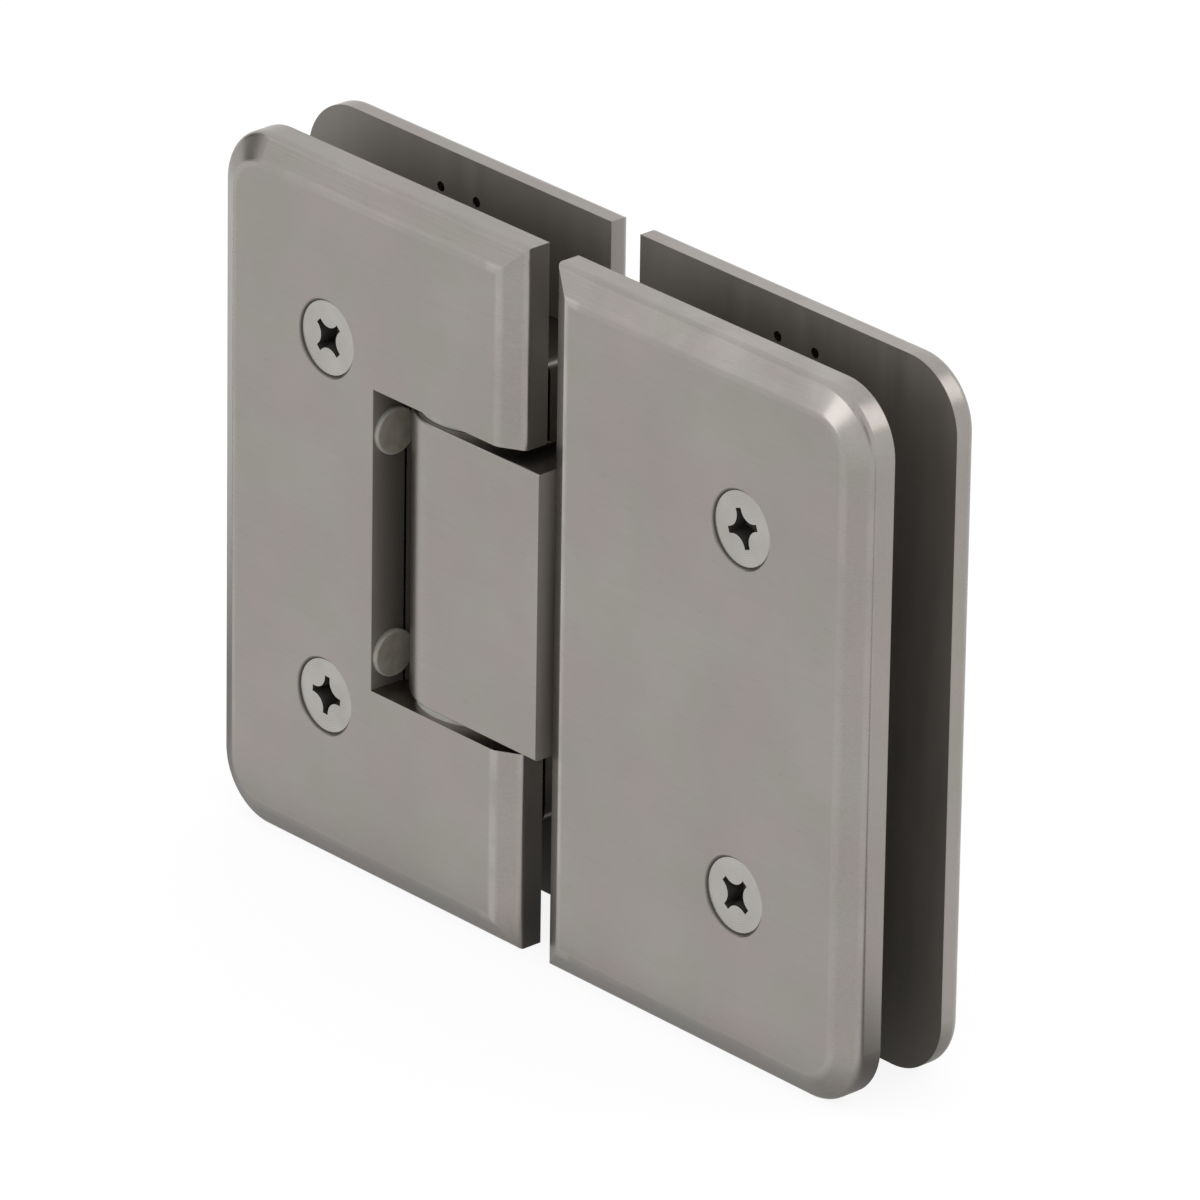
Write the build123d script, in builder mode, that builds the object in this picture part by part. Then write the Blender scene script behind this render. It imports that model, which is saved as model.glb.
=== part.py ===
from build123d import *
import os
from math import atan2, degrees

# Shower door hinge, glass to glass, 180 degrees at rest. Two leaves of bevelled plates each
# clamp a pane of glass. The left leaf carries a body with a pocket and two knuckles, and the
# right leaf carries a pivot block that turns in the pocket, on a pin between the knuckles.
# Frame: +X along the hinge to the right leaf, -Y to the front, +Z up. Origin: the middle of
# the hinge, in the gap between the leaves. Millimetres.

# Leaves and plates
leaf_height = 90.0
leaf_width = 53.7
leaf_gap = 5.0
glass_slot = 9.6
plate_thickness = 5.0
outer_corner_radius = 8.0
bevel_width = 3.3
front_bevel_depth = 1.8
back_bevel_depth = 2.6
crease_radius = 1.6
arris_radius = 1.0
key_hole_diameter = 1.3
key_hole_depth = 1.5
key_hole_pitch = 6.3
key_hole_inset = 26.75
key_hole_edge = 5.1
thread_skin = 1.0

# Body of the left leaf and pocket for the pivot block
body_reach = 39.0
body_height = 59.2
body_corner_radius = 6.0
body_end_radius = 1.5
body_seat_depth = 0.3
body_seat_clearance = 0.1
clamp_gap = 0.4
pocket_height = 39.0
axis_inset = 14.5
hub_clearance = 0.75

# Pivot block of the right leaf
block_end_gap = 0.8
tongue_start_gap = 0.7
block_edge_radius = 0.3

# Pin, bushes and washers
pin_diameter = 6.0
pin_end_recess = 0.6
pin_bore_relief = 0.3
end_chamfer = 0.4
cam_across_flats = 5.0
cam_length = 26.0
bush_wall = 1.0
bush_length = 4.8
running_clearance = 0.05
seat_clearance = 0.02
washer_thickness = 1.1
washer_rim_step = 0.8

# Self-centring plungers and their springs
plunger_diameter = 5.9
plunger_length = 9.0
plunger_pitch = 16.0
plunger_rim_radius = 0.6
nose_clearance = 0.1
spring_length = 16.0
spring_turns = 7
spring_wire = 0.9
spring_side_gap = 0.2
spring_screw_length = 6.0
spring_screw_hex = 3.0
spring_screw_hex_depth = 3.0

# Screws that lock the pin
pin_screw_diameter = 4.0
pin_screw_length = 6.0
pin_screw_hex = 2.0
pin_screw_hex_depth = 2.4

# Countersunk clamp screws with a cross recess
clamp_screw_inset = 33.6
clamp_screw_edge = 6.4
clamp_screw_thread = 5.0
clamp_screw_head = 9.2
countersink_diameter = 10.0
countersink_angle = 90.0
screw_hole_clearance = 0.25
screw_end_recess = 0.5
screw_chamfer = 0.5
recess_length = 5.0
recess_arm_width = 0.85
recess_inner_radius = 1.75
recess_depth = 2.2
recess_taper = 8.0
left_recess_turns = (45.0, -4.0)
right_recess_turns = (20.0, 52.0)

# Soft bumper buttons on the pocket wall
bumper_diameter = 6.0
bumper_end_gap = 2.1
bumper_drop = 0.9
bumper_margin = 0.2
bumper_gap = 0.1
bumper_rim_radius = 0.25

# Places worked out from the sizes above
leaf_start = leaf_gap / 2
leaf_middle = leaf_start + leaf_width / 2
outer_face = glass_slot / 2 + plate_thickness
hub_radius = outer_face
axis_x = -(leaf_start + axis_inset)
pocket_wall_x = axis_x - hub_radius - hub_clearance
pocket_depth = -leaf_start - pocket_wall_x
body_front = -glass_slot / 2 + clamp_gap
body_thickness = glass_slot - clamp_gap + body_seat_depth
body_end_x = leaf_start + body_reach
block_height = pocket_height - 2 * (washer_thickness + running_clearance)
bush_middle_z = (block_height - bush_length) / 2
block_end_x = leaf_start - block_end_gap
tongue_start_x = leaf_start + tongue_start_gap
knuckle_middle_z = (body_height + pocket_height) / 4
clamp_screw_x = leaf_start + clamp_screw_inset
clamp_screw_pitch = body_height - 2 * clamp_screw_edge
bumper_pitch = pocket_height - bumper_diameter - 2 * bumper_end_gap
key_hole_x = leaf_start + key_hole_inset
pin_radius = pin_diameter / 2
pin_bore_radius = pin_radius + seat_clearance
running_radius = pin_radius + running_clearance
bush_radius = running_radius + bush_wall
bush_seat_radius = bush_radius + seat_clearance
pin_length = body_height - 2 * pin_end_recess
plunger_radius = plunger_diameter / 2
plunger_bore_radius = plunger_radius + running_clearance
plunger_nose_x = axis_x + pin_radius + nose_clearance
spring_start_x = plunger_nose_x + plunger_length
spring_screw_x = spring_start_x + spring_length
thread_radius = clamp_screw_thread / 2
screw_hole_radius = thread_radius + screw_hole_clearance
head_drop = (countersink_diameter - clamp_screw_head) / 2
thread_depth = plate_thickness - thread_skin
body_seat_reach = body_reach + body_seat_clearance

front_plane = Plane(origin=(0, -glass_slot / 2, 0), x_dir=(1, 0, 0), z_dir=(0, -1, 0))
back_plane = Plane(origin=(0, glass_slot / 2, 0), x_dir=(1, 0, 0), z_dir=(0, 1, 0))

os.makedirs("parts", exist_ok=True)


def finish(sub_part, name):
    """Labels one finished piece and writes it."""
    sub_part.part.label = name
    export_step(sub_part.part, f"parts/{name}.step")


# Clamp plates
# Each is cut from flat bar. A wide bevel with softened edges runs round the outer face. The two
# outer corners are round and the two at the pivot sharp. The left plates are notched for the block.
# The front plates are countersunk. On the inside the back plates have a shallow seat for the
# body, blind threads, and small holes that key a seal in place.


def plate_outline(plane, side):
    """Outline of one plate, seen from outside, with its outer corners rounded."""
    with BuildSketch(plane) as outline:
        with Locations((side * leaf_middle, 0)):
            Rectangle(leaf_width, leaf_height)
        outer = -1 if side > 0 else 0
        fillet(outline.vertices().group_by(Axis.X)[outer], outer_corner_radius)
    return outline.sketch


def clamp_plate(name, plane, side, bevel_depth, screw_heads):
    """One plate on the glass side given by its plane: side -1 is the left leaf, +1 the right."""
    edge_band = plate_thickness - bevel_depth
    bevel_angle = degrees(atan2(bevel_width, bevel_depth))
    outward = Axis(plane.origin, plane.z_dir)
    with BuildPart(plane) as plate:
        extrude(plate_outline(plane, side), amount=edge_band)
        extrude(plate_outline(plane.offset(edge_band), side), amount=bevel_depth, taper=bevel_angle)
        creases = plate.faces().sort_by(outward)[-1].edges()
        fillet(creases, crease_radius)
        arrises = plate.edges().filter_by_position(outward, edge_band, edge_band)
        fillet(arrises, arris_radius)
        if side < 0:
            with BuildSketch(plane):
                with Locations((-leaf_start - pocket_depth / 2, 0)):
                    Rectangle(pocket_depth, pocket_height)
            extrude(amount=plate_thickness, mode=Mode.SUBTRACT)
        if screw_heads:
            with Locations((side * clamp_screw_x, 0, plate_thickness)):
                with GridLocations(1, clamp_screw_pitch, 1, 2):
                    CounterSinkHole(screw_hole_radius, countersink_diameter / 2,
                                    depth=plate_thickness, counter_sink_angle=countersink_angle)
        else:
            with BuildSketch(plane) as seat:
                with Locations((side * (leaf_start + body_seat_reach / 2), 0)):
                    Rectangle(body_seat_reach, body_height + 2 * body_seat_clearance)
                closed_end = -1 if side > 0 else 0
                fillet(seat.vertices().group_by(Axis.X)[closed_end], body_corner_radius)
            extrude(amount=body_seat_depth, mode=Mode.SUBTRACT)
            with BuildSketch(plane):
                with Locations((side * clamp_screw_x, 0)):
                    with GridLocations(1, clamp_screw_pitch, 1, 2):
                        Circle(thread_radius + seat_clearance)
            extrude(amount=thread_depth, mode=Mode.SUBTRACT)
            with BuildSketch(plane):
                with Locations((side * key_hole_x, 0)):
                    with GridLocations(key_hole_pitch, leaf_height - 2 * key_hole_edge, 2, 2):
                        Circle(key_hole_diameter / 2)
            extrude(amount=key_hole_depth, mode=Mode.SUBTRACT)
    finish(plate, name)


clamp_plate("left_front_plate", front_plane, -1, front_bevel_depth, True)
clamp_plate("left_back_plate", back_plane, -1, back_bevel_depth, False)
clamp_plate("right_front_plate", front_plane, 1, front_bevel_depth, True)
clamp_plate("right_back_plate", back_plane, 1, back_bevel_depth, False)

# Hinge body
# A block between the left plates, in the cut-out of the glass. It lies in the back plate and
# stops short of the front one, so that the screws clamp the glass. The pocket parts its two
# knuckles, which hold the pin, and a screw from each end face locks the pin in them.

body_plane = Plane(origin=(0, body_front, 0), x_dir=(1, 0, 0), z_dir=(0, -1, 0))

with BuildPart() as hinge_body:
    with BuildSketch(body_plane) as body_outline:
        with Locations((-leaf_start - body_reach / 2, 0)):
            Rectangle(body_reach, body_height)
        fillet(body_outline.vertices().group_by(Axis.X)[0], body_corner_radius)
        fillet(body_outline.vertices().group_by(Axis.X)[-1], body_end_radius)
        with Locations((-leaf_start - pocket_depth / 2, 0)):
            Rectangle(pocket_depth, pocket_height, mode=Mode.SUBTRACT)
        with Locations((-clamp_screw_x, 0)):
            with GridLocations(1, clamp_screw_pitch, 1, 2):
                Circle(screw_hole_radius, mode=Mode.SUBTRACT)
    extrude(amount=-body_thickness)
    with Locations((axis_x, 0, 0)):
        Cylinder(pin_bore_radius, body_height, mode=Mode.SUBTRACT)
    with BuildSketch(Plane.YZ.offset(axis_x)):
        with GridLocations(1, 2 * knuckle_middle_z, 1, 2):
            Circle(pin_screw_diameter / 2 + seat_clearance)
    extrude(amount=axis_inset, mode=Mode.SUBTRACT)
finish(hinge_body, "hinge_body")

# Pivot pin
# Turned steel. The middle stretch is milled square, with its corners left on the round, and
# the plungers rest on its flats when the door stands closed or open at 90 degrees.

with BuildPart() as pivot_pin:
    with BuildSketch(Plane.XY.offset(-pin_length / 2)):
        with Locations((axis_x, 0)):
            Circle(pin_radius)
    extrude(amount=pin_length)
    chamfer(pivot_pin.faces().sort_by(Axis.Z)[-1].edges(), end_chamfer)
    chamfer(pivot_pin.faces().sort_by(Axis.Z)[0].edges(), end_chamfer)
    with BuildSketch(Plane.XY.offset(-cam_length / 2)):
        with Locations((axis_x, 0)):
            Circle(pin_diameter)
            Rectangle(cam_across_flats, cam_across_flats, mode=Mode.SUBTRACT)
    extrude(amount=cam_length, mode=Mode.SUBTRACT)
finish(pivot_pin, "pivot_pin")


def grub_screw(name, start, radius, length, hex_size, hex_depth):
    """A headless screw along X whose key socket faces the right leaf."""
    with BuildPart() as screw:
        with BuildSketch(Plane.YZ.offset(start[0])):
            with Locations((start[1], start[2])):
                Circle(radius)
        extrude(amount=length)
        chamfer(screw.faces().sort_by(Axis.X)[0].edges(), end_chamfer)
        with BuildSketch(Plane.YZ.offset(start[0] + length)):
            with Locations((start[1], start[2])):
                RegularPolygon(hex_size / 2, 6, major_radius=False)
        extrude(amount=-hex_depth, mode=Mode.SUBTRACT)
    finish(screw, name)


for name, level in (("upper", 1), ("lower", -1)):
    grub_screw(f"{name}_pin_screw", (axis_x + pin_radius, 0, level * knuckle_middle_z),
               pin_screw_diameter / 2, pin_screw_length, pin_screw_hex, pin_screw_hex_depth)

# Pivot block
# One solid piece: a hub rounded about the pin, as thick as the whole hinge, and a thinner
# tongue that lies in the cut-out of the glass between the right plates. The pin bore is
# counterbored for two bushes, and two bores from the tongue's end hold plungers and springs.

with BuildPart() as pivot_block:
    with BuildSketch(Plane.XY.offset(-block_height / 2)):
        with Locations((axis_x, 0)):
            Circle(hub_radius)
        with Locations(((axis_x + block_end_x) / 2, 0)):
            Rectangle(block_end_x - axis_x, 2 * hub_radius)
    extrude(amount=block_height)
    rims = pivot_block.edges().filter_by(GeomType.CIRCLE)
    fillet(rims, block_edge_radius)
    with BuildSketch(body_plane) as tongue_outline:
        tongue_width = body_end_x - tongue_start_x
        with Locations(((tongue_start_x + body_end_x) / 2, 0)):
            Rectangle(tongue_width, body_height)
        fillet(tongue_outline.vertices().group_by(Axis.X)[0], body_end_radius)
        fillet(tongue_outline.vertices().group_by(Axis.X)[-1], body_corner_radius)
        with Locations(((block_end_x + tongue_start_x) / 2, 0)):
            Rectangle(2 * (tongue_start_x - block_end_x), block_height)
        with Locations((clamp_screw_x, 0)):
            with GridLocations(1, clamp_screw_pitch, 1, 2):
                Circle(screw_hole_radius, mode=Mode.SUBTRACT)
    extrude(amount=-body_thickness)
    with Locations((axis_x, 0, 0)):
        Cylinder(pin_radius + pin_bore_relief, block_height, mode=Mode.SUBTRACT)
    with Locations((axis_x, 0, bush_middle_z), (axis_x, 0, -bush_middle_z)):
        Cylinder(bush_seat_radius, bush_length, mode=Mode.SUBTRACT)
    with BuildSketch(Plane.YZ.offset(axis_x)):
        with GridLocations(1, plunger_pitch, 1, 2):
            Circle(plunger_bore_radius)
    extrude(amount=body_end_x - axis_x, mode=Mode.SUBTRACT)
finish(pivot_block, "pivot_block")

# Bushes and washers
# Nylon. The bushes line the pin bore of the block, and the washers part it from the knuckles.

for name, level in (("upper", 1), ("lower", -1)):
    with BuildPart() as bush:
        with Locations((axis_x, 0, level * bush_middle_z)):
            Cylinder(bush_radius, bush_length)
            Cylinder(running_radius, bush_length, mode=Mode.SUBTRACT)
    finish(bush, f"{name}_bush")

    washer_middle_z = level * (pocket_height - washer_thickness) / 2
    with BuildPart() as washer:
        with Locations((axis_x, 0, washer_middle_z)):
            Cylinder(hub_radius - washer_rim_step, washer_thickness)
            Cylinder(running_radius, washer_thickness, mode=Mode.SUBTRACT)
    finish(washer, f"{name}_washer")

# Plungers, springs and spring screws
# Two steel plungers in the block press on the flats of the pin. They are shown pushed back, as
# when the door turns from one flat to the next, and slide out by the depth of the flats.

for name, level in (("upper", 1), ("lower", -1)):
    plunger_z = level * plunger_pitch / 2
    with BuildPart() as plunger:
        with BuildSketch(Plane.YZ.offset(plunger_nose_x)):
            with Locations((0, plunger_z)):
                Circle(plunger_radius)
        extrude(amount=plunger_length)
        fillet(plunger.faces().sort_by(Axis.X)[0].edges(), plunger_rim_radius)
    finish(plunger, f"{name}_plunger")

    coil_radius = plunger_radius - spring_side_gap - spring_wire / 2
    spring_start = Vector(spring_start_x, 0, plunger_z)
    with BuildPart() as spring:
        with BuildLine() as coil:
            Helix(pitch=spring_length / spring_turns, height=spring_length, radius=coil_radius,
                  center=spring_start, direction=(1, 0, 0))
        with BuildSketch(Plane(origin=coil.line @ 0, z_dir=coil.line % 0)):
            Circle(spring_wire / 2)
        sweep(path=coil.line, is_frenet=True)
        with BuildSketch(Plane.YZ.offset(spring_start_x)):
            with Locations((0, plunger_z)):
                Circle(plunger_radius)
        extrude(amount=spring_length, mode=Mode.INTERSECT)
    finish(spring, f"{name}_spring")

    grub_screw(f"{name}_spring_screw", (spring_screw_x, 0, plunger_z), plunger_radius,
               spring_screw_length, spring_screw_hex, spring_screw_hex_depth)

# Clamp screws
# Countersunk, with a cross recess. They pass the front plate and the body and screw into the
# back plate, two to a leaf.

screw_top = outer_face - head_drop
screw_length = screw_top + glass_slot / 2 + thread_depth - screw_end_recess
head_depth = (clamp_screw_head - clamp_screw_thread) / 2


def clamp_screw(name, side, level, turn):
    """One clamp screw, its head in the front plate and its recess turned as it happened to stop."""
    seat_x = side * clamp_screw_x
    seat_z = level * clamp_screw_pitch / 2
    tip_y = screw_length - screw_top
    with BuildPart() as screw:
        with BuildSketch(Plane.YZ.offset(seat_x)):
            with BuildLine():
                Polyline((-screw_top, seat_z),
                         (-screw_top, seat_z + clamp_screw_head / 2),
                         (-screw_top + head_depth, seat_z + thread_radius),
                         (tip_y - screw_chamfer, seat_z + thread_radius),
                         (tip_y, seat_z + thread_radius - screw_chamfer),
                         (tip_y, seat_z), close=True)
            make_face()
        revolve(axis=Axis((seat_x, 0, seat_z), (0, 1, 0)))
        head_plane = Plane(origin=(seat_x, -screw_top, seat_z), x_dir=(1, 0, 0), z_dir=(0, -1, 0))
        with BuildSketch(head_plane) as cross:
            Rectangle(recess_length, recess_arm_width, rotation=turn)
            Rectangle(recess_arm_width, recess_length, rotation=turn)
            fillet(cross.vertices().sort_by_distance((0, 0, 0))[:4], recess_inner_radius)
        extrude(amount=-recess_depth, taper=recess_taper, mode=Mode.SUBTRACT)
    finish(screw, name)


for leaf, side, turns in (("left", -1, left_recess_turns), ("right", 1, right_recess_turns)):
    clamp_screw(f"{leaf}_upper_clamp_screw", side, 1, turns[0])
    clamp_screw(f"{leaf}_lower_clamp_screw", side, -1, turns[1])

# Bumper buttons
# Clear soft buttons on the pocket wall. The flat of the block comes to rest on them when the
# door stands open at 90 degrees, the front pair one way and the back pair the other.

for face, turn in (("front", -1), ("back", 1)):
    for name, level in (("upper", 1), ("lower", -1)):
        button_y = turn * (outer_face - bumper_margin - bumper_diameter / 2)
        button_z = level * bumper_pitch / 2 - bumper_drop
        with BuildPart() as bumper:
            with BuildSketch(Plane.YZ.offset(pocket_wall_x)):
                with Locations((button_y, button_z)):
                    Circle(bumper_diameter / 2)
            extrude(amount=hub_clearance - bumper_gap)
            fillet(bumper.faces().sort_by(Axis.X)[-1].edges(), bumper_rim_radius)
        finish(bumper, f"{name}_{face}_bumper")
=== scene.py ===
from math import pi, radians

import bpy
from mathutils import Matrix, Vector


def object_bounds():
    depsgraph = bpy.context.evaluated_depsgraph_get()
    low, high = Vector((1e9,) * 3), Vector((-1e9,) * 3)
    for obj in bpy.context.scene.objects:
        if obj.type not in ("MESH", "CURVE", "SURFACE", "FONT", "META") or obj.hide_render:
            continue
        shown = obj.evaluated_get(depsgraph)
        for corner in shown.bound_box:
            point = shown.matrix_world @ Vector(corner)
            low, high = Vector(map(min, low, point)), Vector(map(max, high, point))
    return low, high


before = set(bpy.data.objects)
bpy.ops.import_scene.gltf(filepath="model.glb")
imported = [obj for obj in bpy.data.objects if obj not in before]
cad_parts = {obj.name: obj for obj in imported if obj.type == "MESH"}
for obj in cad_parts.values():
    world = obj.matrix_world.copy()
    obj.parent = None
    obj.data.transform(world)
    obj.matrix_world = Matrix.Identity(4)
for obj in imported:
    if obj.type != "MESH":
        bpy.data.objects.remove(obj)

cad_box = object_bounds()

# Studio
# The hinge stands on its lower edges on a white table in a white room, with a soft lamp in front,
# a weak one on the left and one behind on the right. A long lens looks down on it from the front
# right, and the opening for the camera and a doorway on the left are the dark parts of the room.

lens_mm = 397.6
camera_place = (1.0463, -0.9525, 0.6407)
camera_heading, camera_dip, camera_roll = 47.638, 24.394, 0.873

camera = bpy.data.objects.new("camera", bpy.data.cameras.new("camera"))
bpy.context.scene.collection.objects.link(camera)
camera.data.lens = lens_mm
camera.data.sensor_width = 36.0
camera.data.clip_start, camera.data.clip_end = 0.05, 20.0
camera.matrix_world = (Matrix.Translation(camera_place)
                       @ Matrix.Rotation(radians(camera_heading), 4, "Z")
                       @ Matrix.Rotation(radians(90.0 - camera_dip), 4, "X")
                       @ Matrix.Rotation(radians(camera_roll), 4, "Z"))
bpy.context.scene.camera = camera
bpy.context.scene.view_settings.view_transform = "Standard"


class Wire:
    """One output of a shader node, so that shader maths reads as plain sums."""

    def __init__(self, tree, socket=None):
        self.tree = tree
        self.socket = socket

    def node(self, kind, settings=None, values=None, output=0):
        """Adds a node: its settings first, then the values or the wires of its sockets."""
        made = self.tree.nodes.new(kind)
        for name, value in (settings or {}).items():
            setattr(made, name, value)
        for name, value in (values or {}).items():
            if isinstance(value, Wire):
                self.tree.links.new(value.socket, made.inputs[name])
            else:
                made.inputs[name].default_value = value
        return Wire(self.tree, made.outputs[output] if made.outputs else None)

    def maths(self, operation, *others):
        return self.node("ShaderNodeMath", {"operation": operation},
                         dict(enumerate((self, *others))))

    def __add__(self, other):
        return self.maths("ADD", other)

    __radd__ = __add__

    def __mul__(self, other):
        return self.maths("MULTIPLY", other)

    __rmul__ = __mul__

    def __sub__(self, other):
        return self.maths("SUBTRACT", other)

    def __rsub__(self, other):
        return self * -1.0 + other

    def __abs__(self):
        return self.maths("ABSOLUTE")

    def larger(self, other):
        return self.maths("MAXIMUM", other)

    def axes(self):
        """The X, Y and Z of a vector."""
        return [self.node("ShaderNodeSeparateXYZ", values={"Vector": self}, output=axis)
                for axis in "XYZ"]

    def rises(self, low, high):
        """0 below low and 1 above high, with a smooth rise between them."""
        return self.node("ShaderNodeMapRange", {"interpolation_type": "SMOOTHSTEP"},
                         {"Value": self, "From Min": low, "From Max": high})

    def between(self, first, second):
        """The mix of two colours, with this wire as the share of the second."""
        first, second = (c if isinstance(c, Wire) else (*c, 1.0) for c in (first, second))
        return self.node("ShaderNodeMix", {"data_type": "RGBA"}, {0: self, 6: first, 7: second}, 2)


def kinds_of_ray(tree):
    """The first wire of a tree, and the wires that are 1 for camera rays and for mirrored ones."""
    start = Wire(tree)
    seen = start.node("ShaderNodeLightPath", output="Is Camera Ray")
    mirrored = (start.node("ShaderNodeLightPath", output="Is Glossy Ray")
                + start.node("ShaderNodeLightPath", output="Is Transmission Ray"))
    return start, seen, mirrored.maths("MINIMUM", 1.0)


white = (1.0, 1.0, 1.0, 1.0)
ambient_light = 0.75
# Each opening's direction, the cosines to its soft rim and to its full dark, and how dark it is.
openings = (((0.67, -0.61, 0.41), 0.90, 0.99, 0.45), ((-0.96, -0.27, 0.06), 0.86, 0.97, 0.80))
world = bpy.data.worlds.new("studio")
bpy.context.scene.world = world
world.use_nodes = True
world.node_tree.nodes.clear()
rays, seen, mirrored = kinds_of_ray(world.node_tree)
towards = rays.node("ShaderNodeTexCoord", output="Generated")
room = 1.0
for centre, rim, core, depth in openings:
    nearness = rays.node("ShaderNodeVectorMath", {"operation": "DOT_PRODUCT"},
                         {0: towards, 1: centre}, "Value")
    room = room - nearness.rises(rim, core) * depth
strength = ambient_light + seen * (1.0 - ambient_light) + mirrored * (room - ambient_light)
sky = rays.node("ShaderNodeBackground", values={"Color": white, "Strength": strength})
rays.node("ShaderNodeOutputWorld", values={"Surface": sky})


def soft_lamp(name, place, size, brightness):
    """A square lamp that faces the hinge. Its brightness is what a mirror shows of it."""
    lamp = bpy.data.objects.new(name, bpy.data.lights.new(name, "AREA"))
    bpy.context.scene.collection.objects.link(lamp)
    lamp.data.size = size
    lamp.data.energy = brightness * pi * size * size
    lamp.location = place
    lamp.rotation_euler = (-Vector(place)).to_track_quat("-Z", "Y").to_euler()


soft_lamp("front_lamp", (-0.27, -0.96, 0.36), 0.42, 1.30)
soft_lamp("left_lamp", (-0.62, -0.72, 0.36), 0.55, 0.20)
soft_lamp("back_lamp", (0.47, 0.64, 0.63), 0.50, 1.05)

table_size, table_white = 8.0, (0.9, 0.9, 0.9, 1.0)
shown_share, shown_glow = 0.80, 1.10
painted_shadow_glow, far_glow, painted_shadow_reach = 0.25, 1.00, 0.022
bpy.ops.object.select_all(action="DESELECT")
bpy.ops.mesh.primitive_plane_add(size=table_size, location=(0.0, 0.0, cad_box[0].z))
table = bpy.context.object
bpy.ops.object.transform_apply(location=True)
table.name = "table"
table.data.materials.append(bpy.data.materials.new("white_table"))
table.active_material.use_nodes = True
table.active_material.node_tree.nodes.clear()
rays, seen, mirrored = kinds_of_ray(table.active_material.node_tree)
# Seen in the metal, the table is all glow and dimmer near the hinge: a painted shadow of the hinge.
from_hinge = abs(rays.node("ShaderNodeTexCoord", output="Object").axes()[1])
mirrored_glow_with_painted_shadow = painted_shadow_glow + from_hinge.rises(0.0, painted_shadow_reach) * (far_glow - painted_shadow_glow)
lit = rays.node("ShaderNodeBsdfDiffuse", values={"Color": table_white})
plain = rays.node("ShaderNodeEmission", values={
    "Color": white, "Strength": seen * shown_glow + mirrored * mirrored_glow_with_painted_shadow})
mixed = rays.node("ShaderNodeMixShader", values={
    0: seen * shown_share + mirrored, 1: lit, 2: plain})
rays.node("ShaderNodeOutputMaterial", values={"Surface": mixed})

# Clamp plates
# Four plates cut from flat stainless bar, bevelled all round outside and brushed along the hinge
# to a warm satin grey, with stronger marks on the bevels. Their arrises are rubbed and carry a painted
# highlight, the creases inside the bevels carry a painted highlight that is strongest near the pivot,
# and the door's top bevels carry a painted highlight that grows to the right. The faces to the glass
# are dull. Painted shade darkens the countersinks, the deep end of the notches, the faces to the
# glass, most low down, and the ends at the pivot low down.

plate_names = ("left_front_plate", "left_back_plate", "right_front_plate", "right_back_plate")
plate_dark, plate_light = (0.297, 0.265, 0.249), (0.360, 0.326, 0.308)
rubbed_and_highlight_bright, dull_steel, painted_shade = (0.50, 0.48, 0.455), (0.260, 0.238, 0.212), (0.080, 0.073, 0.065)
plate_end, plate_top, plate_corner, bevel_width = 0.0562, 0.045, 0.008, 0.0033
pivot_edge, pivot_crease = 0.0025, 0.0080
glass_face, front_arris, back_arris, outer_face = 0.0048, 0.0080, 0.0072, 0.0098
screw_x, screw_z, cone_radius, cone_floor = 0.0361, 0.0232, 0.0050, -0.0060
notch_wall, notch_top = -0.02755, 0.0195
hair_waves, streak_waves, scratch_waves = (90.0, 4200.0), (28.0, 1300.0), (420.0, 6500.0)
# Each of these pairs is where a painted highlight (first line) and painted shade (second line) begin to
# change and where the change is complete.
top_highlight_height, top_highlight_length = (0.034, 0.042), (-0.020, 0.045)
shaded_depth, less_shade_height, end_shade_top = (0.0055, 0.0110), (0.030, 0.044), (-0.044, -0.024)


def new_finish(name):
    """A new material, and the wire of the place on the hinge."""
    material = bpy.data.materials.new(name)
    material.use_nodes = True
    material.node_tree.nodes.clear()
    return material, Wire(material.node_tree).node("ShaderNodeTexCoord", output="Object")


def grain(place, scale, detail=2.0):
    """Noise round 0, with that many waves to the metre along X, Y and Z."""
    stretched = place.node("ShaderNodeMapping", values={"Vector": place, "Scale": scale})
    return place.node("ShaderNodeTexNoise", values={"Vector": stretched, "Scale": 1.0,
                                                    "Detail": detail}) - 0.5


def surface(place, **sockets):
    """The shader that ends a material, from its sockets' values or wires."""
    values = {name.replace("_", " "): value for name, value in sockets.items()}
    shader = place.node("ShaderNodeBsdfPrincipled", values=values)
    place.node("ShaderNodeOutputMaterial", values={"Surface": shader})


def along_x(waves):
    """The scale of a brush mark: its waves along the hinge, and across it both ways."""
    return waves[0], waves[1], waves[1]


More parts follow.
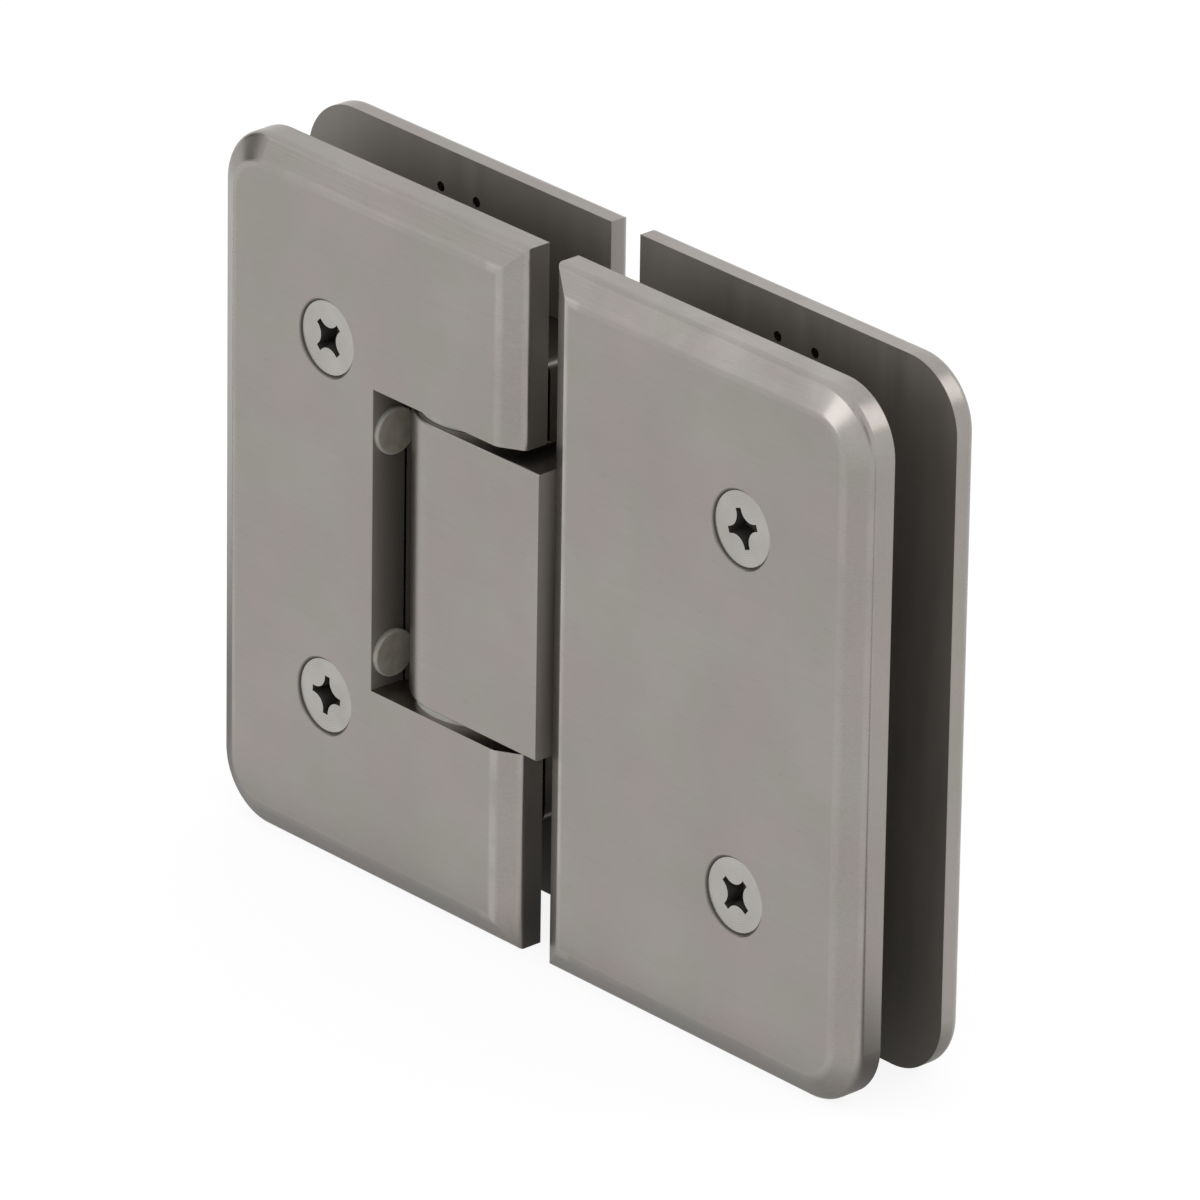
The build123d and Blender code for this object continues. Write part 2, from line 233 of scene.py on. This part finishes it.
def brushed_steel(name, where_worn_and_lit, where_dull, where_shaded, dark, light):
    """Satin steel brushed along X. Each where tells, from X, Y and Z, how much a place is so."""
    material, place = new_finish(name)
    x, y, z = place.axes()
    patch = (grain(place, (160.0, 160.0, 160.0), 3.0) + 0.5).rises(0.3, 0.7)
    worn_and_lit = where_worn_and_lit(x, y, z) * (0.3 + patch * 0.7)
    dull, shaded = where_dull(x, y, z), where_shaded(x, y, z)
    bevelled = 1.0 - abs(y).rises(outer_face - 0.0001, outer_face - 0.00002)
    marked = (0.4 + bevelled * 0.6) * (1.0 - dull)
    hair, streak = grain(place, along_x(hair_waves)), grain(place, along_x(streak_waves))
    scratch = (grain(place, along_x(scratch_waves), 0.0) + 0.5).rises(0.74, 0.80)
    cloud = grain(place, (55.0, 55.0, 55.0), 3.0)
    smear = grain(place, (420.0, 420.0, 45.0), 3.0)
    tint = (grain(place, (95.0, 95.0, 95.0), 2.0) + 0.5).rises(0.30, 0.70)
    tone = ((hair * 0.7 + streak * 0.22 - scratch * 0.5) * marked + cloud * 0.8 + 0.5).rises(0.0, 1.0)
    greener = [(shade[0] * 0.955, shade[1] * 1.015, shade[2] * 0.975) for shade in (dark, light)]
    colour = tint.between(tone.between(dark, light), tone.between(*greener))
    # Rubbed places lighten the colour, and so do painted highlights on edges, creases and top bevels.
    colour = (worn_and_lit * 0.20).between(colour, rubbed_and_highlight_bright)
    # Dull places turn to duller steel, and painted shade darkens the colour where shaded says.
    colour = shaded.between(dull.between(colour, dull_steel), painted_shade)
    rough = 0.30 + hair * 0.05 + cloud * 0.05 - worn_and_lit * 0.05 + dull * (0.14 + smear * 0.2) + shaded * 0.25
    relief = place.node("ShaderNodeBump", values={"Strength": 0.10, "Distance": 0.00001,
                                                  "Height": (hair + streak * 0.5 - scratch) * marked})
    surface(place, Base_Color=colour, Metallic=1.0 - dull * (0.6 + smear * 0.4), Roughness=rough,
            Normal=relief)
    return material


def to_glass(y):
    """The inner faces of the plates, against the glass."""
    return 1.0 - abs(y).rises(glass_face, glass_face + 0.0001)


def plate_wear_and_highlights(x, y, z):
    """Where a plate is lightened: its rubbed arris, and painted highlights on its creases and top
    bevels.
    """
    out_x = (abs(x) - (plate_end - plate_corner)).larger(0.0)
    out_z = (abs(z) - (plate_top - plate_corner)).larger(0.0)
    corner = (out_x * out_x + out_z * out_z).maths("SQRT") - plate_corner
    outline = corner.larger(pivot_edge - abs(x))
    level = (-1.0 * y - front_arris).larger(y - back_arris)
    arris = outline.rises(-0.0009, -0.0003) * (1.0 - abs(level).rises(0.0003, 0.0007))
    crease = (1.0 - abs(outline + bevel_width).rises(0.0002, 0.0008)) * level.rises(0.0010, 0.0014)
    near_pivot = 1.0 - abs(x).rises(pivot_crease - 0.0005, pivot_crease + 0.0005)
    top_highlight = (outline + bevel_width).rises(0.0, 0.0003) * z.rises(*top_highlight_height) * (1.0 - to_glass(y))
    rubbed_and_highlit = arris.larger(crease * (1.0 + near_pivot * 1.5))
    return rubbed_and_highlit.larger(top_highlight * x.rises(*top_highlight_length) * 1.6)


def notch_end(x, z):
    """The end wall of the notch that the block swings in."""
    return ((1.0 - abs(x - notch_wall).rises(0.0, 0.0002))
            * (1.0 - abs(z).rises(notch_top - 0.0002, notch_top)))


def pivot_end(x):
    """The ends of the plates at the pivot, in the gap between the leaves."""
    return 1.0 - abs(x).rises(pivot_edge, pivot_edge + 0.0001)


def unpolished(x, y, z):
    """The inner faces of the plates, the end wall of the notch and the ends at the pivot."""
    return to_glass(y).larger(notch_end(x, z)).larger(pivot_end(x) * 0.45)


def screw_distance(x, z):
    """How far a point is from the line of the nearest clamp screw."""
    from_x, from_z = abs(x) - screw_x, abs(z) - screw_z
    return (from_x * from_x + from_z * from_z).maths("SQRT")


def plate_painted_shade(x, y, z):
    """Painted shade in the screws' cones, deep in the notch, on the inner faces, most low down, and low
    on the ends.
    """
    cones = ((y + outer_face).rises(0.0, 0.0003)
             * (1.0 - y.rises(cone_floor - 0.0002, cone_floor + 0.0002))
             * (1.0 - screw_distance(x, z).rises(cone_radius, cone_radius + 0.0001)))
    deep = (1.0 - abs(y).rises(*shaded_depth)) * notch_end(x, z)
    inside = (0.5 - z.rises(*less_shade_height) * 0.35) * to_glass(y)
    low_end = (1.0 - z.rises(*end_shade_top)) * pivot_end(x)
    return cones.larger(deep * 0.85).larger(inside).larger(low_end * 0.9)


plate_steel = brushed_steel("plate_steel", plate_wear_and_highlights, unpolished, plate_painted_shade, plate_dark,
                            plate_light)


def give_finish(names, material):
    """Gives the CAD pieces of those names one finish."""
    for name in names:
        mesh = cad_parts[name].data
        mesh.materials.clear()
        mesh.materials.append(material)


give_finish(plate_names, plate_steel)

# Hinge body
# The milled block between the left plates, in the cut-out of the glass, of the same brushed steel,
# with colours darker than the plates' as painted shade. Its rims are rubbed and carry a painted
# highlight, and the walls of its pocket are dull and darkened with painted shade.

body_shaded_dark, body_shaded_light = (0.205, 0.192, 0.176), (0.262, 0.248, 0.230)
body_front, body_back = -0.0044, 0.0051


def body_wear_and_highlight(x, y, z):
    """The rims of the body, where its ends and its pocket meet the two faces: rubbed, with a painted
    highlight.
    """
    return (1.0 - (y - body_front).rises(0.0001, 0.0003)) + (y - body_back).rises(-0.0003, -0.0001)


def pocket(x, y, z):
    """The walls of the pocket, where no brush reaches."""
    return (x - notch_wall).rises(-0.0001, 0.0) * (1.0 - abs(z).rises(notch_top, notch_top + 0.0001))


def pocket_painted_shade(x, y, z):
    """Painted shade on the walls of the pocket."""
    return pocket(x, y, z) * 0.6


give_finish(["hinge_body"], brushed_steel("body_steel", body_wear_and_highlight, pocket, pocket_painted_shade, body_shaded_dark,
                                          body_shaded_light))

# Pivot pin and its locking screws
# The pin and the plungers are ground steel, with fine rings from the wheel. The headless screws
# that lock the pin in the knuckles are blackened, with specks where the coat has rubbed off.

pin_grey, pin_bright = (0.40, 0.40, 0.39), (0.58, 0.58, 0.57)
pin_x = -0.017

material, place = new_finish("ground_steel")
ring = grain(place, (250.0, 250.0, 9000.0))
surface(place, Base_Color=(ring + 0.5).rises(0.2, 0.8).between(pin_grey, pin_bright), Metallic=1.0,
        Roughness=0.18 + ring * 0.12)
give_finish(["pivot_pin", "upper_plunger", "lower_plunger"], material)

black_oxide, rubbed_oxide = (0.035, 0.034, 0.036), (0.16, 0.155, 0.15)

material, place = new_finish("blackened_steel")
speck = grain(place, (900.0, 900.0, 900.0), 4.0)
surface(place, Base_Color=(speck + 0.5).rises(0.35, 0.8).between(black_oxide, rubbed_oxide),
        Metallic=0.9, Roughness=0.38 + speck * 0.2)
give_finish(["upper_pin_screw", "lower_pin_screw"], material)

# Washers and bushes
# Turned from natural nylon: waxy, slightly see-through and off-white, with faint rings from the
# tool. They keep the block off the knuckles and off the pin.

nylon_shade, nylon_pale = (0.50, 0.49, 0.455), (0.60, 0.59, 0.56)
turning_pitch = 0.000698

material, place = new_finish("natural_nylon")
x, y = place.axes()[:2]
radius = ((x - pin_x) * (x - pin_x) + y * y).maths("SQRT")
turned = (radius * (2.0 * pi / turning_pitch)).maths("SINE") * 0.5
cloud = grain(place, (300.0, 300.0, 300.0), 3.0)
relief = place.node("ShaderNodeBump", values={"Strength": 0.2, "Distance": 0.00001, "Height": turned})
surface(place, Base_Color=(cloud + 0.5).rises(0.2, 0.8).between(nylon_shade, nylon_pale),
        Roughness=0.42 + cloud * 0.2, Normal=relief, Subsurface_Weight=0.25,
        Subsurface_Radius=(0.0012, 0.0011, 0.0009))
give_finish(["upper_washer", "lower_washer", "upper_bush", "lower_bush"], material)

# Pivot block
# One solid piece of the right leaf, brushed like the plates. Its hub is rounded about the pin and
# its edges are lightly broken and rubbed, and carry a painted highlight.

block_front, block_top, block_end = 0.0098, 0.01835, 0.0017
rub_start, rub_full = 0.00028, 0.0001
duller_height = (-0.020, 0.020)


def block_wear_and_highlight(x, y, z):
    """The rubbed edges of the block's thick part, where two of its faces meet, with a painted
    highlight.
    """
    near_y = abs(y).rises(block_front - rub_start, block_front - rub_full)
    near_z = abs(z).rises(block_top - rub_start, block_top - rub_full)
    near_x = x.rises(block_end - rub_start, block_end - rub_full)
    return (near_y * near_z + near_z * near_x + near_x * near_y).maths("MINIMUM", 1.0) * 0.6


def block_end_face(x, y, z):
    """The end of the block's thick part, in the gap between the leaves, dullest high up."""
    return x.rises(block_end - 0.0001, block_end) * (1.1 + z.rises(*duller_height) * 0.4)


def nowhere(x, y, z):
    """No part of the block gets painted shade."""
    return x * 0.0


give_finish(["pivot_block"], brushed_steel("block_steel", block_wear_and_highlight, block_end_face, nowhere,
                                           plate_dark, plate_light))

# Springs and their screws
# Wound from drawn spring steel, dull grey with darker streaks along the wire. A plain stainless
# screw behind each spring closes its bore at the end of the tongue.

wire_dark, wire_light = (0.20, 0.20, 0.20), (0.38, 0.38, 0.37)

material, place = new_finish("spring_wire")
drawn = grain(place, (4000.0, 500.0, 500.0))
surface(place, Base_Color=(drawn + 0.5).rises(0.2, 0.8).between(wire_dark, wire_light), Metallic=1.0,
        Roughness=0.34 + drawn * 0.2)
give_finish(["upper_spring", "lower_spring", "upper_spring_screw", "lower_spring_screw"], material)

# Clamp screws
# Four countersunk stainless screws, brighter than the plates. The heads are turned, with faint
# rings round the middle, and the cross recess is darkened with painted shade from just below its rim.

head_dark, head_light = (0.368, 0.354, 0.334), (0.450, 0.436, 0.414)
recess_painted_shade = (0.110, 0.104, 0.094)
head_y, recess_radius, ring_pitch = -0.0094, 0.0026, 0.00030

material, place = new_finish("screw_steel")
x, y, z = place.axes()
radius = screw_distance(x, z)
ring = (radius * (2.0 * pi / ring_pitch)).maths("SINE") * 0.5
cloud = grain(place, (260.0, 260.0, 260.0), 3.0)
# The recess is painted dark as shade; a thin rim just below the head's face keeps the head's colour.
recess = ((y - head_y).rises(0.00012, 0.00022)
          * (1.0 - radius.rises(recess_radius, recess_radius + 0.0001)))
colour = (ring * 0.25 + cloud + 0.5).rises(0.1, 0.9).between(head_dark, head_light)
relief = place.node("ShaderNodeBump", values={"Strength": 0.1, "Distance": 0.00001, "Height": ring})
surface(place, Base_Color=recess.between(colour, recess_painted_shade), Metallic=1.0,
        Roughness=0.26 + cloud * 0.1 + recess * 0.4, Normal=relief)
give_finish([f"{leaf}_{level}_clamp_screw" for leaf in ("left", "right")
             for level in ("upper", "lower")], material)

# Bumper buttons
# Clear soft silicone, a little yellow and cloudy, stuck to the wall of the pocket. A painted
# highlight lightens the rounded rim.

bumper_shade, bumper_pale = (0.415, 0.380, 0.310), (0.530, 0.505, 0.435)
bumper_rim_highlight = (0.62, 0.61, 0.55)
bumper_y, bumper_z, bumper_drop, bumper_radius = 0.0066, 0.0144, 0.0009, 0.0030

material, place = new_finish("clear_silicone")
y, z = place.axes()[1:]
from_y, from_z = abs(y) - bumper_y, abs(z + bumper_drop) - bumper_z
# The rim's lighter colour is a painted highlight.
rim = (from_y * from_y + from_z * from_z).maths("SQRT").rises(bumper_radius - 0.0005, bumper_radius)
cloud = grain(place, (700.0, 700.0, 700.0), 3.0)
middle = (cloud + 0.5).rises(0.2, 0.8).between(bumper_shade, bumper_pale)
surface(place, Base_Color=(rim * 0.6).between(middle, bumper_rim_highlight), Roughness=0.22 + cloud * 0.1,
        Transmission_Weight=0.40, IOR=1.41)
give_finish([f"{level}_{face}_bumper" for level in ("upper", "lower") for face in ("front", "back")],
            material)
